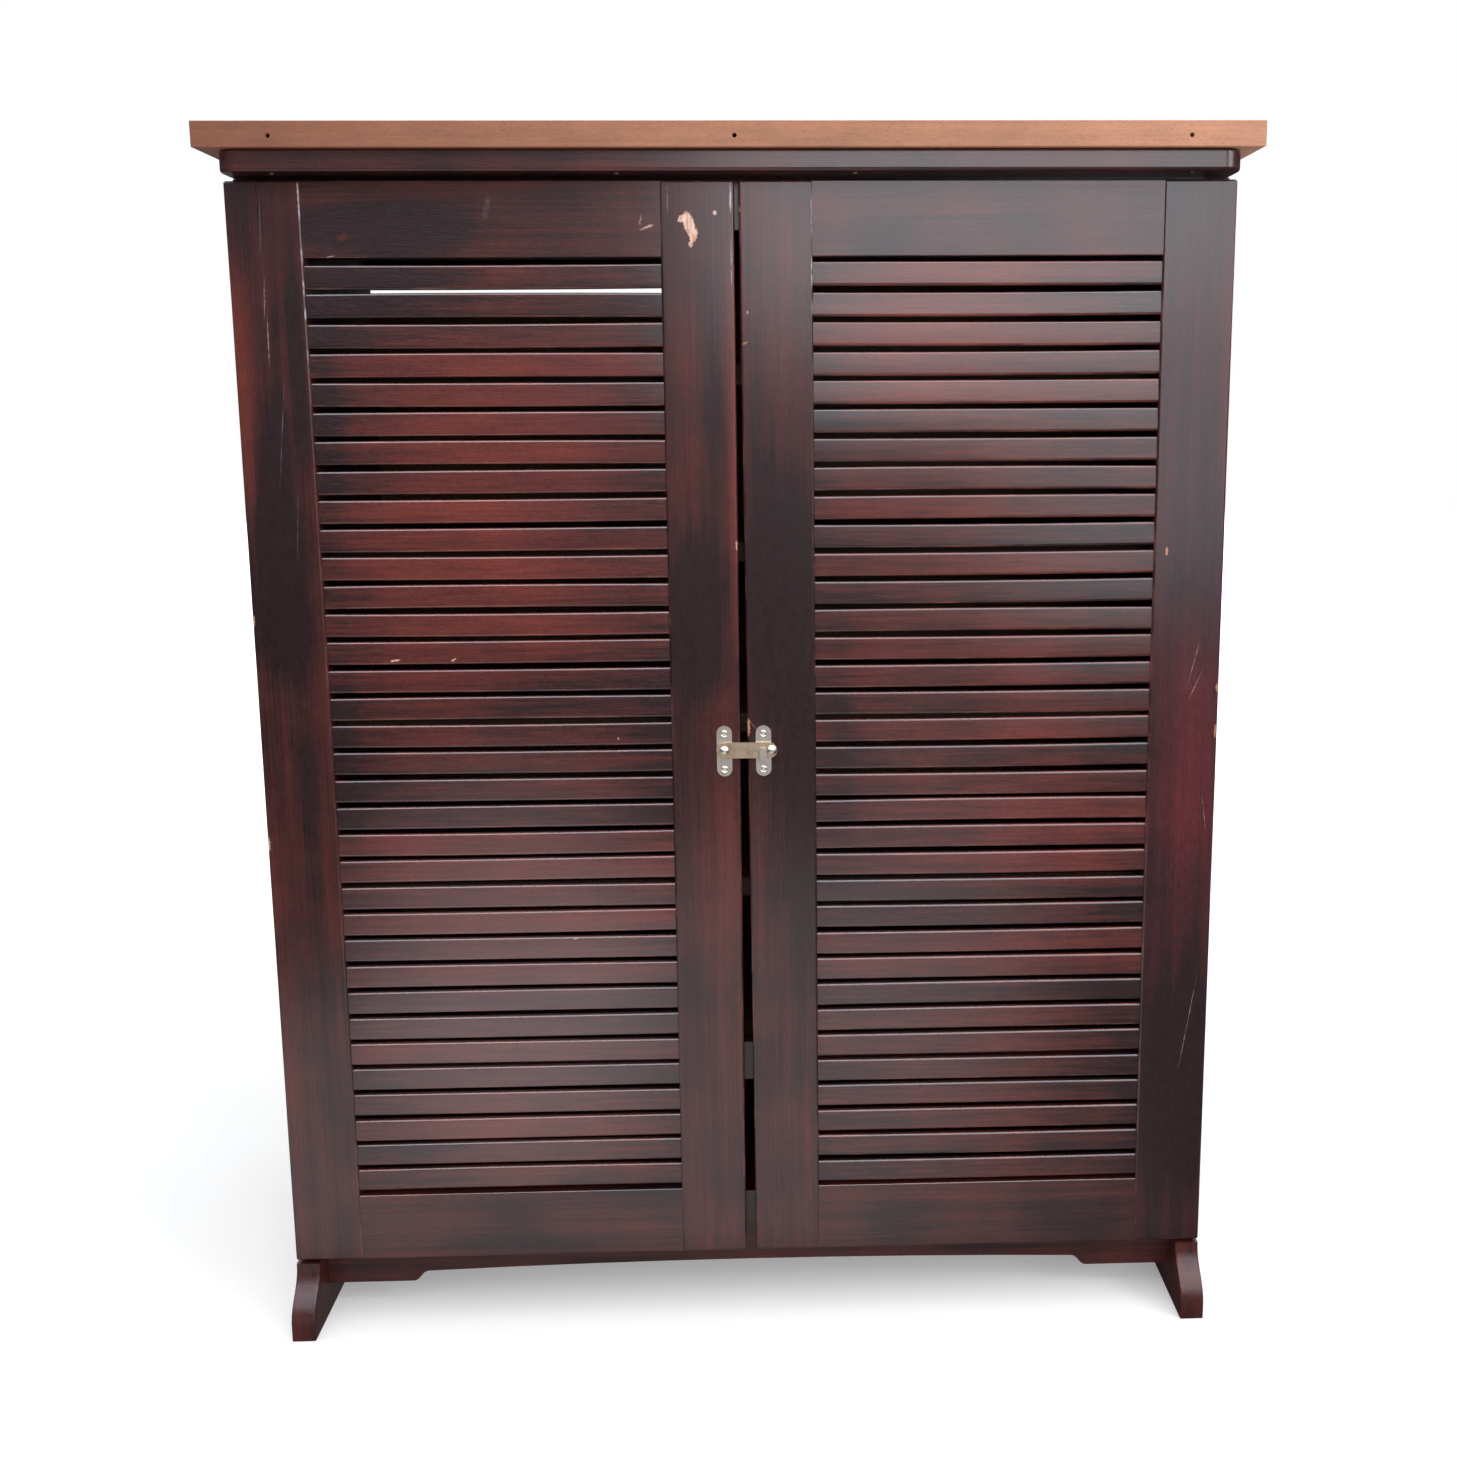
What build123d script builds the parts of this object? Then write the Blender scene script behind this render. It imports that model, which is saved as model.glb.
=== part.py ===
"""Louvred shoe cabinet: a two-door case on side panels that run down to the floor.

Millimetres.  +X is to the right of somebody facing the doors, -Y points out of the doors and
+Z is up.  The origin is on the floor, under the centre of the top board, and the doors are
shut and latched.  Every piece is one file in parts/, named after its node.
"""
from build123d import *
import math
import os

# ---------------------------------------------------------------- overall and case
TOP_WIDTH = 932.0            # the bare top board is the widest and deepest piece
TOP_DEPTH = 405.0
HEIGHT = 1146.0
TOP_THICKNESS = 22.0
TOP_EDGE_RADIUS = 0.8
CASE_WIDTH = 900.0
CASE_TOP_THICKNESS = 19.0
CASE_TOP_SETBACK = 6.0       # its front edge, behind the front edge of the top board
CASE_TOP_CORNER = 18.0       # radius of its two front corners, seen from above
CASE_TOP_EASE = 3.0          # radius of its long edges
SIDE_THICKNESS = 23.0
SIDE_EDGE_RADIUS = 1.5
BOARD_THICKNESS = 18.0       # shelves and bottom board
RAIL_THICKNESS = 20.0        # aprons, stretchers and back rails
BACK_THICKNESS = 3.0         # hardboard back

# ---------------------------------------------------------------- doors
DOOR_SETBACK = 25.0          # door faces, behind the front edge of the top board
DOOR_THICKNESS = 22.0
DOOR_BOTTOM = 70.0
DOOR_TOP = 1100.0
SEAM_AT_TOP = 4.0            # gap between the doors: they have sagged, so it widens downwards
SEAM_AT_BOTTOM = 10.0
STILE_WIDTH = 66.0
STILE_RADIUS = 2.2
TOP_RAIL_HEIGHT = 66.0
BOTTOM_RAIL_HEIGHT = 67.0
RAIL_RECESS = 0.9            # rail faces, behind the stile faces
RAIL_RADIUS = 1.0
TENON_LENGTH = 26.0
TENON_THICKNESS = 8.0
TENON_SHOULDER = 9.0
SLAT_COUNT = 34
SLAT_GAP = 4.4
SLAT_THICKNESS = 8.0
SLAT_RADIUS = 2.4
SLAT_TILT = 1.5              # degrees, lower edge outwards
SLAT_RECESS = 1.5            # foremost line of a slat, behind the stile faces
MORTISE_DEPTH = 6.0
MORTISE_PLAY = 0.15

# ---------------------------------------------------------------- toes, bottom and inside
TOE_TOP = DOOR_BOTTOM - 3.5  # the side panels reach forward below the doors
TOE_REACH = 25.0             # from the door faces to the tip of the toe
TOE_FLAT = 14.0              # height of the upright tip
BOTTOM_TOP = 120.0           # upper face of the bottom board and top of the front apron
APRON_END = 30.0             # heights of the apron's lower edge
APRON_SHOULDER = 40.5
APRON_CENTRE = 45.5
APRON_STEP_OUTER = 343.0     # where the step in its lower edge starts and ends
APRON_STEP_INNER = 327.0
REAR_APRON_BOTTOM = 62.0
SHELF_COUNT = 5
LOWEST_SHELF_TOP = 279.0
SHELF_SETBACK = 12.0         # front edge of a shelf, behind the case front
SHELF_RAIL_HEIGHT = 39.0     # the rail that the lowest shelf is housed behind
CLEAT = 20.0                 # section of a shelf cleat
CLEAT_MARGIN = 25.0
BACK_RAIL_HEIGHT = 45.0
LEFT_BACK_TOP = 1020.0       # the left back sheet stops here and leaves a slot under the back rail
BACK_SEAM = 1.0
MUNTIN_WIDTH = 60.0

# ---------------------------------------------------------------- hinges
HINGE_GAP = 2.5              # between the back of a door and the case front, for the leaves
HINGE_HEIGHTS = (205.0, 585.0, 965.0)
HINGE_LENGTH = 60.0
KNUCKLES = 5
KNUCKLE_GAP = 0.3
BARREL_RADIUS = 3.0
PIN_RADIUS = 1.5
PIN_PLAY = 0.05
PIN_HEAD_RADIUS = 2.4
PIN_HEAD_HEIGHT = 1.2
LEAF_THICKNESS = 1.1
LEAF_WIDTH = 18.5
LEAF_CLEARANCE = 0.35        # between a leaf's edge or the wood and a barrel
LEAF_SCREWS = (-21.0, 0.0, 21.0)
LEAF_SCREW_INSET = 9.5

# ---------------------------------------------------------------- swinging bar latch
LATCH_HEIGHT = 582.0         # centre line of the arm
PLATE_WIDTH = 14.4
PLATE_LENGTH = 48.5
PLATE_THICKNESS = 1.2
PLATE_DROP = 1.0             # plate centres, below the arm's centre line
LATCH_X = -18.4              # rivet, and centre of the plate on the left door
KEEPER_X = 18.4              # centre of the plate on the right door
ARM_HALF_WIDTH = 7.6
ARM_THICKNESS = 1.6
ARM_REACH = 42.0             # from the rivet to the centre of the arm's round end
ARM_GAP = 0.5                # between the plates and the arm
RIVET_RADIUS = 2.0
RIVET_PLAY = 0.06
RIVET_HEAD_RADIUS = 4.2
RIVET_HEAD_HEIGHT = 2.4
KNOB_OFFSET = 44.7           # from the rivet to the centre of the knob
KNOB_RADIUS = 4.8
KNOB_HEIGHT = 3.6
HOOK_WIDTH = 6.3
HOOK_RIGHT = 20.9            # right-hand edge of the hook
HOOK_RISE = 2.2              # tip of the hook, above the arm's centre line
HOOK_CLEARANCE = 0.6
HOOK_WINDOW_MARGIN = 0.4
LATCH_SCREW_SPACING = 34.4

# ---------------------------------------------------------------- screws: head, shank, length
HINGE_SCREW = (2.6, 1.3, 13.0)
LATCH_SCREW = (3.1, 1.3, 14.0)
LATCH_SCREW_CROWN = 0.35     # rise of its oval head above the plate, less than the arm's gap
TOP_SCREW = (3.6, 2.0, 26.0)
TOP_SCREW_HEAD = 1.8
TOP_SCREW_PLACES = ((-404.0, -187.0), (-105.0, -187.0), (105.0, -187.0), (404.0, -187.0))
RECESS_WIDTH = 0.8
RECESS_LENGTH = 3.4
RECESS_DEPTH = 0.9
NAIL_RADIUS = 0.8
NAIL_HEAD_RADIUS = 2.2
NAIL_HEAD_HEIGHT = 0.6
NAIL_LENGTH = 16.0
NAILS_PER_EDGE = 7
EDGE_HOLE_RADIUS = 2.0       # three screw holes in the front edge of the top board
EDGE_HOLE_DEPTH = 30.0
EDGE_HOLE_SPACING = 400.0
EDGE_HOLE_BELOW_TOP = 12.5

# ---------------------------------------------------------------- worked out from the above
FRONT = -TOP_DEPTH / 2
BACK = TOP_DEPTH / 2
DOOR_FACE = FRONT + DOOR_SETBACK
DOOR_BACK = DOOR_FACE + DOOR_THICKNESS
CASE_FRONT = DOOR_BACK + HINGE_GAP
SHEET_BACK = BACK - NAIL_HEAD_HEIGHT
CASE_BACK = SHEET_BACK - BACK_THICKNESS
CASE_HALF = CASE_WIDTH / 2
INNER_HALF = CASE_HALF - SIDE_THICKNESS
CASE_TOP_TOP = HEIGHT - TOP_THICKNESS
CASE_TOP_UNDER = CASE_TOP_TOP - CASE_TOP_THICKNESS
PANE_BOTTOM = DOOR_BOTTOM + BOTTOM_RAIL_HEIGHT
PANE_TOP = DOOR_TOP - TOP_RAIL_HEIGHT
PANE_LEFT = -CASE_HALF + STILE_WIDTH
PANE_RIGHT = -SEAM_AT_TOP / 2 - STILE_WIDTH
SLAT_PITCH = (PANE_TOP - PANE_BOTTOM - SLAT_GAP) / SLAT_COUNT
TILT = math.radians(SLAT_TILT)
SLAT_HEIGHT = (SLAT_PITCH - SLAT_GAP - SLAT_THICKNESS * math.sin(TILT)) / math.cos(TILT)
SLAT_DEPTH = SLAT_THICKNESS * math.cos(TILT) + SLAT_HEIGHT * math.sin(TILT)
SLAT_Y = DOOR_FACE + SLAT_RECESS + SLAT_DEPTH / 2
SHELF_PITCH = (CASE_TOP_UNDER - LOWEST_SHELF_TOP) / SHELF_COUNT
SHELF_FRONT = CASE_FRONT + SHELF_SETBACK
HINGE_X = CASE_HALF + BARREL_RADIUS + LEAF_CLEARANCE
HINGE_Y = (DOOR_BACK + CASE_FRONT) / 2
KNUCKLE_PITCH = HINGE_LENGTH / KNUCKLES
PLATE_FACE = DOOR_FACE - PLATE_THICKNESS
ARM_BACK = PLATE_FACE - ARM_GAP
ARM_FACE = ARM_BACK - ARM_THICKNESS


def block(x, y, z):
    """A box between the two values of each pair."""
    size = (x[1] - x[0], y[1] - y[0], z[1] - z[0])
    return Pos((x[0] + x[1]) / 2, (y[0] + y[1]) / 2, (z[0] + z[1]) / 2) * Box(*size)


def eased(solid, radius, axis=None):
    """The solid with its long edges along one axis, or all of its edges, rounded."""
    edges = solid.edges().filter_by(axis) if axis else solid.edges()
    return fillet(edges, radius)


def rod(start, direction, radius, length, tip_radius=None):
    """A round bar, or a cone with tip_radius, from start along direction."""
    plane = Plane(origin=start, z_dir=direction)
    if tip_radius is None:
        return plane * Cylinder(radius, length, align=(Align.CENTER, Align.CENTER, Align.MIN))
    return plane * Cone(radius, tip_radius, length, align=(Align.CENTER, Align.CENTER, Align.MIN))


def dome(start, direction, radius, height):
    """A shallow round cap standing on start."""
    ball = (radius**2 + height**2) / (2 * height)
    plane = Plane(origin=start, z_dir=direction)
    cap = Pos(0, 0, height - ball) * Sphere(ball)
    keep = Cylinder(radius + 1, height + 1, align=(Align.CENTER, Align.CENTER, Align.MIN))
    return plane * (cap & keep)


def save(node, *solids):
    """Write one node, made of one solid or of several separate ones."""
    shape = solids[0] if len(solids) == 1 else Compound(children=list(solids))
    shape.label = node
    export_step(shape, f"parts/{node}.step")


def save_pair(name, *solids):
    """Write the node on the left and its mirror image on the right."""
    save(name.format(side="left"), *solids)
    save(name.format(side="right"), *[mirror(solid, about=Plane.YZ) for solid in solids])


# ---------------------------------------------------------------- case
def top_board():
    half = TOP_WIDTH / 2
    board = eased(block((-half, half), (FRONT, BACK), (CASE_TOP_TOP, HEIGHT)), TOP_EDGE_RADIUS)
    for place in (-1, 0, 1):
        mouth = (place * EDGE_HOLE_SPACING, FRONT - 1, HEIGHT - EDGE_HOLE_BELOW_TOP)
        board -= rod(mouth, (0, 1, 0), EDGE_HOLE_RADIUS, EDGE_HOLE_DEPTH + 1)
    return board


def case_top():
    front = FRONT + CASE_TOP_SETBACK
    board = block((-CASE_HALF, CASE_HALF), (front, BACK), (CASE_TOP_UNDER, CASE_TOP_TOP))
    corners = board.edges().filter_by(Axis.Z).filter_by_position(Axis.Y, front - 1, front + 1)
    board = fillet(corners, CASE_TOP_CORNER)
    loops = board.edges().filter_by(Axis.Z, reverse=True)
    return fillet(loops.filter_by_position(Axis.Y, front - 1, BACK - 1), CASE_TOP_EASE)


def side_panel():
    """The left side, in one board from the case top to the floor, with a curved toe."""
    tip = DOOR_FACE - TOE_REACH
    sweep = Spline((DOOR_FACE, TOE_TOP), (tip, TOE_FLAT), tangents=((0, -1), (0, -1)))
    rest = Polyline((tip, TOE_FLAT), (tip, 0), (CASE_BACK, 0), (CASE_BACK, CASE_TOP_UNDER),
                    (CASE_FRONT, CASE_TOP_UNDER), (CASE_FRONT, TOE_TOP), (DOOR_FACE, TOE_TOP))
    outline = Plane.YZ * make_face(Wire([*sweep.edges(), *rest.edges()]))
    panel = Pos(-CASE_HALF, 0, 0) * extrude(outline, SIDE_THICKNESS)
    front_edges = panel.edges().filter_by_position(Axis.Y, FRONT - 1, CASE_FRONT + 0.1)
    for along in (Axis.X, Axis.Y):
        front_edges = front_edges.filter_by(along, reverse=True)
    return fillet(front_edges, SIDE_EDGE_RADIUS)


def bottom_board():
    return block((-INNER_HALF, INNER_HALF), (CASE_FRONT + RAIL_THICKNESS, CASE_BACK),
                 (BOTTOM_TOP - BOARD_THICKNESS, BOTTOM_TOP))


def front_apron():
    """The board under the doors: its lower edge steps up and then arches a little."""
    outer = (APRON_STEP_OUTER, APRON_END)
    shoulder = (APRON_STEP_INNER, APRON_SHOULDER)
    ramp = Spline(outer, shoulder, tangents=((-1, 0), (-1, 0.15)))
    arch = ThreePointArc(shoulder, (0, APRON_CENTRE), (-APRON_STEP_INNER, APRON_SHOULDER))
    rest = Polyline((-APRON_STEP_OUTER, APRON_END), (-INNER_HALF, APRON_END), (-INNER_HALF, BOTTOM_TOP),
                    (INNER_HALF, BOTTOM_TOP), (INNER_HALF, APRON_END), outer)
    wire = Wire([*rest.edges(), *ramp.edges(), *arch.edges(), *mirror(ramp, about=Plane.YZ).edges()])
    return Pos(0, CASE_FRONT, 0) * extrude(Plane.XZ * make_face(wire), -RAIL_THICKNESS)


def rear_apron():
    return block((-INNER_HALF, INNER_HALF), (CASE_BACK - RAIL_THICKNESS, CASE_BACK),
                 (REAR_APRON_BOTTOM, BOTTOM_TOP - BOARD_THICKNESS))


def top_stretcher():
    return block((-INNER_HALF, INNER_HALF), (CASE_FRONT, CASE_FRONT + RAIL_THICKNESS),
                 (CASE_TOP_UNDER - BACK_RAIL_HEIGHT, CASE_TOP_UNDER))


def back_top_rail():
    return block((-INNER_HALF, INNER_HALF), (CASE_BACK - RAIL_THICKNESS, CASE_BACK),
                 (CASE_TOP_UNDER - BACK_RAIL_HEIGHT, CASE_TOP_UNDER))


def back_muntin():
    half = MUNTIN_WIDTH / 2
    return block((-half, half), (CASE_BACK - RAIL_THICKNESS, CASE_BACK),
                 (BOTTOM_TOP, CASE_TOP_UNDER - BACK_RAIL_HEIGHT))


def back_sheet(side):
    """One half of the back; the left sheet is cut short below the back rail."""
    top = LEFT_BACK_TOP if side == "left" else CASE_TOP_UNDER
    x = (-CASE_HALF, -BACK_SEAM / 2) if side == "left" else (BACK_SEAM / 2, CASE_HALF)
    return block(x, (CASE_BACK, SHEET_BACK), (REAR_APRON_BOTTOM, top))


def nail(x, z):
    """A panel pin driven forward through the back."""
    bearing = (x, SHEET_BACK, z)
    head = rod(bearing, (0, 1, 0), NAIL_HEAD_RADIUS, NAIL_HEAD_HEIGHT)
    return head + rod(bearing, (0, -1, 0), NAIL_RADIUS, NAIL_LENGTH)


def back_nails():
    """Panel pins up each side, the muntin's two edges included."""
    edge = CASE_HALF - SIDE_THICKNESS / 2
    inner = MUNTIN_WIDTH / 4
    low = BOTTOM_TOP + CLEAT
    nails = []
    for x, high in ((-edge, LEFT_BACK_TOP), (-inner, LEFT_BACK_TOP), (inner, CASE_TOP_UNDER),
                    (edge, CASE_TOP_UNDER)):
        step = (high - CLEAT - low) / (NAILS_PER_EDGE - 1)
        nails += [nail(x, low + step * count) for count in range(NAILS_PER_EDGE)]
    return nails


def shelf_top(number):
    return LOWEST_SHELF_TOP + number * SHELF_PITCH


def shelf(number):
    """The lowest shelf butts against its rail and the others run to the front."""
    front = CASE_FRONT + RAIL_THICKNESS if number == 0 else SHELF_FRONT
    top = shelf_top(number)
    return block((-INNER_HALF, INNER_HALF), (front, CASE_BACK - RAIL_THICKNESS),
                 (top - BOARD_THICKNESS, top))


def shelf_rail():
    return block((-INNER_HALF, INNER_HALF), (CASE_FRONT, CASE_FRONT + RAIL_THICKNESS),
                 (LOWEST_SHELF_TOP - SHELF_RAIL_HEIGHT, LOWEST_SHELF_TOP))


def shelf_cleats():
    """Wooden bearers along the left side, one under each shelf."""
    cleats = []
    for number in range(SHELF_COUNT):
        under = shelf_top(number) - BOARD_THICKNESS
        cleats.append(block((-INNER_HALF, -INNER_HALF + CLEAT),
                            (CASE_FRONT + CLEAT_MARGIN, CASE_BACK - RAIL_THICKNESS - CLEAT_MARGIN),
                            (under - CLEAT, under)))
    return cleats


def cross_recess(screw, centre, direction):
    """Cut a cross into a screw head whose outer face has this centre and outward direction."""
    arm = Box(RECESS_WIDTH, RECESS_LENGTH, 2 * RECESS_DEPTH)
    return screw - Plane(origin=centre, z_dir=direction) * (arm + Rot(0, 0, 90) * arm)


def top_screws():
    """Pan-head screws driven up through the lip of the case top into the top board."""
    head, shank, length = TOP_SCREW
    screws = []
    for x, y in TOP_SCREW_PLACES:
        bearing = (x, y, CASE_TOP_UNDER)
        screw = rod(bearing, (0, 0, -1), head, TOP_SCREW_HEAD) + rod(bearing, (0, 0, 1), shank, length)
        screws.append(cross_recess(screw, (x, y, CASE_TOP_UNDER - TOP_SCREW_HEAD), (0, 0, -1)))
    return screws


# ---------------------------------------------------------------- doors, drawn for the left one
def slat_height(number):
    """Centre height of a slat, counted from the bottom."""
    return PANE_BOTTOM + SLAT_GAP + (SLAT_PITCH - SLAT_GAP) / 2 + number * SLAT_PITCH


def slat_bar(number, x, play=0.0):
    """The rounded bar of a slat, or of the mortise around its end, between two X values."""
    section = RectangleRounded(SLAT_THICKNESS + 2 * play, SLAT_HEIGHT + 2 * play, SLAT_RADIUS + play)
    bar = extrude(Plane.YZ * section, x[1] - x[0])
    return Pos(x[0], SLAT_Y, slat_height(number)) * Rot(-SLAT_TILT, 0, 0) * bar


def slats(first, last):
    reach = MORTISE_DEPTH - MORTISE_PLAY
    return [slat_bar(number, (PANE_LEFT - reach, PANE_RIGHT + reach)) for number in range(first, last)]


def rail_tenon(x, rail_z):
    """The tenon of a rail, or its mortise, between two X values."""
    middle = (DOOR_FACE + DOOR_BACK) / 2
    return block(x, (middle - TENON_THICKNESS / 2, middle + TENON_THICKNESS / 2),
                 (rail_z[0] + TENON_SHOULDER, rail_z[1] - TENON_SHOULDER))


def door_rail(rail_z):
    rail = block((PANE_LEFT, PANE_RIGHT), (DOOR_FACE + RAIL_RECESS, DOOR_BACK), rail_z)
    rail = eased(rail, RAIL_RADIUS, Axis.X)
    return rail + rail_tenon((PANE_LEFT - TENON_LENGTH, PANE_RIGHT + TENON_LENGTH), rail_z)


def mortised(stile, inner_x, inward):
    """Cut the slat and rail mortises into a stile, from its inner edge."""
    slat_end = inner_x + inward * MORTISE_DEPTH
    tenon_end = inner_x + inward * TENON_LENGTH
    cuts = [slat_bar(number, sorted((inner_x - inward, slat_end)), MORTISE_PLAY)
            for number in range(SLAT_COUNT)]
    for rail_z in ((DOOR_BOTTOM, PANE_BOTTOM), (PANE_TOP, DOOR_TOP)):
        cuts.append(rail_tenon(sorted((inner_x - inward, tenon_end)), rail_z))
    return stile.cut(*cuts)


def hinge_stile():
    stile = block((-CASE_HALF, PANE_LEFT), (DOOR_FACE, DOOR_BACK), (DOOR_BOTTOM, DOOR_TOP))
    return mortised(eased(stile, STILE_RADIUS, Axis.Z), PANE_LEFT, -1)


def lock_stile():
    """The stile at the seam: its outer edge slopes away from the other door downwards."""
    outline = Polyline((PANE_RIGHT, DOOR_BOTTOM), (-SEAM_AT_BOTTOM / 2, DOOR_BOTTOM),
                       (-SEAM_AT_TOP / 2, DOOR_TOP), (PANE_RIGHT, DOOR_TOP), close=True)
    stile = Pos(0, DOOR_FACE, 0) * extrude(Plane.XZ * make_face(outline), -DOOR_THICKNESS)
    uprights = [edge for edge in stile.edges() if edge.length > STILE_WIDTH * 2]
    return mortised(fillet(uprights, STILE_RADIUS), PANE_RIGHT, 1)


# ---------------------------------------------------------------- hinges, drawn for the left one
def knuckle_span(number, height):
    low = height - HINGE_LENGTH / 2 + number * KNUCKLE_PITCH
    return low + KNUCKLE_GAP / 2, low + KNUCKLE_PITCH - KNUCKLE_GAP / 2


def hinge_leaf(height, on_case):
    """One leaf with its share of the knuckles: the case leaf has the first, third and fifth."""
    wood, out_y = (CASE_FRONT, -1) if on_case else (DOOR_BACK, 1)
    y = sorted((wood, wood + out_y * LEAF_THICKNESS))
    near = -HINGE_X + BARREL_RADIUS + LEAF_CLEARANCE
    leaf = block((near, near + LEAF_WIDTH), y, (height - HINGE_LENGTH / 2, height + HINGE_LENGTH / 2))
    for number in range(0 if on_case else 1, KNUCKLES, 2):
        low, high = knuckle_span(number, height)
        leaf += block((-HINGE_X, near), y, (low, high))
        leaf += rod((-HINGE_X, HINGE_Y, low), (0, 0, 1), BARREL_RADIUS, high - low)
    leaf -= rod((-HINGE_X, HINGE_Y, height - HINGE_LENGTH), (0, 0, 1), PIN_RADIUS + PIN_PLAY,
                2 * HINGE_LENGTH)
    head, shank, _ = HINGE_SCREW
    for offset in LEAF_SCREWS:
        seat = (near + LEAF_SCREW_INSET, wood, height + offset)
        leaf -= rod(seat, (0, out_y, 0), shank + PIN_PLAY, LEAF_THICKNESS, head + PIN_PLAY)
    return leaf


def sunk_screw(seat, out_y, sheet, size):
    """A countersunk wood screw, flush with a sheet that lies on the wood at seat."""
    head, shank, length = size
    head_cone = rod(seat, (0, out_y, 0), shank, sheet, head)
    return head_cone + rod(seat, (0, -out_y, 0), shank, length, shank / 4)


def hinge_screws(on_case):
    """The screws of one door's three leaves on the case or on the door."""
    wood, out_y = (CASE_FRONT, -1) if on_case else (DOOR_BACK, 1)
    x = -HINGE_X + BARREL_RADIUS + LEAF_CLEARANCE + LEAF_SCREW_INSET
    return [sunk_screw((x, wood, height + offset), out_y, LEAF_THICKNESS, HINGE_SCREW)
            for height in HINGE_HEIGHTS for offset in LEAF_SCREWS]


def hinge_pins():
    """One loose pin per hinge, with a small head at each end."""
    pins = []
    for height in HINGE_HEIGHTS:
        low = height - HINGE_LENGTH / 2
        foot = (-HINGE_X, HINGE_Y, low)
        top = (-HINGE_X, HINGE_Y, low + HINGE_LENGTH)
        pin = rod(foot, (0, 0, 1), PIN_RADIUS, HINGE_LENGTH)
        pin += rod(foot, (0, 0, -1), PIN_HEAD_RADIUS, PIN_HEAD_HEIGHT)
        pins.append(pin + rod(top, (0, 0, 1), PIN_HEAD_RADIUS, PIN_HEAD_HEIGHT))
    return pins


# ---------------------------------------------------------------- latch
def latch_screw_heights():
    middle = LATCH_HEIGHT - PLATE_DROP
    return middle - LATCH_SCREW_SPACING / 2, middle + LATCH_SCREW_SPACING / 2


def obround_plate(x):
    """A plate with round ends and a countersunk hole near each end."""
    middle = LATCH_HEIGHT - PLATE_DROP
    outline = Plane.XZ * Rot(0, 0, 90) * SlotOverall(PLATE_LENGTH, PLATE_WIDTH)
    plate = Pos(x, DOOR_FACE, middle) * extrude(outline, PLATE_THICKNESS)
    head, shank, _ = LATCH_SCREW
    for height in latch_screw_heights():
        plate -= rod((x, DOOR_FACE, height), (0, -1, 0), shank + PIN_PLAY, PLATE_THICKNESS,
                     head + PIN_PLAY)
    return plate


def latch_plate():
    hole = rod((LATCH_X, PLATE_FACE - 1, LATCH_HEIGHT), (0, 1, 0), RIVET_RADIUS, PLATE_THICKNESS + 2)
    return obround_plate(LATCH_X) - hole


def latch_rivet():
    """A domed rivet: the arm turns on its shank."""
    foot = (LATCH_X, ARM_FACE - RIVET_PLAY, LATCH_HEIGHT)
    shank = rod(foot, (0, 1, 0), RIVET_RADIUS, DOOR_FACE - foot[1])
    return shank + dome(foot, (0, -1, 0), RIVET_HEAD_RADIUS, RIVET_HEAD_HEIGHT)


def latch_arm():
    outline = Plane.XZ * SlotCenterToCenter(ARM_REACH, 2 * ARM_HALF_WIDTH)
    arm = Pos(LATCH_X + ARM_REACH / 2, ARM_BACK, LATCH_HEIGHT) * extrude(outline, ARM_THICKNESS)
    return arm - rod((LATCH_X, ARM_FACE - 1, LATCH_HEIGHT), (0, 1, 0), RIVET_RADIUS + RIVET_PLAY,
                     ARM_THICKNESS + 2)


def latch_knob():
    return dome((LATCH_X + KNOB_OFFSET, ARM_FACE, LATCH_HEIGHT), (0, -1, 0), KNOB_RADIUS, KNOB_HEIGHT)


def keeper_plate():
    """The plate on the right door, with a tongue cut out of it and bent up into a hook."""
    hook_x = (HOOK_RIGHT - HOOK_WIDTH, HOOK_RIGHT)
    arm_under = LATCH_HEIGHT - ARM_HALF_WIDTH
    shelf_z = (arm_under - HOOK_CLEARANCE - PLATE_THICKNESS, arm_under - HOOK_CLEARANCE)
    tip = LATCH_HEIGHT + HOOK_RISE
    hook_back = ARM_FACE - HOOK_CLEARANCE
    window_x = (hook_x[0] - HOOK_WINDOW_MARGIN, hook_x[1] + HOOK_WINDOW_MARGIN)
    plate = obround_plate(KEEPER_X)
    plate -= block(window_x, (PLATE_FACE - 1, DOOR_FACE + 1), (shelf_z[1], tip))
    plate += block(hook_x, (hook_back - PLATE_THICKNESS, PLATE_FACE), shelf_z)
    plate += block(hook_x, (hook_back - PLATE_THICKNESS, hook_back), (shelf_z[0], tip))
    return plate


def latch_screws(x):
    """Countersunk screws with a low crown and a cross recess."""
    screws = []
    for height in latch_screw_heights():
        screw = sunk_screw((x, DOOR_FACE, height), -1, PLATE_THICKNESS, LATCH_SCREW)
        screw += dome((x, PLATE_FACE, height), (0, -1, 0), LATCH_SCREW[0], LATCH_SCREW_CROWN)
        screws.append(cross_recess(screw, (x, PLATE_FACE - LATCH_SCREW_CROWN, height), (0, -1, 0)))
    return screws


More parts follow.
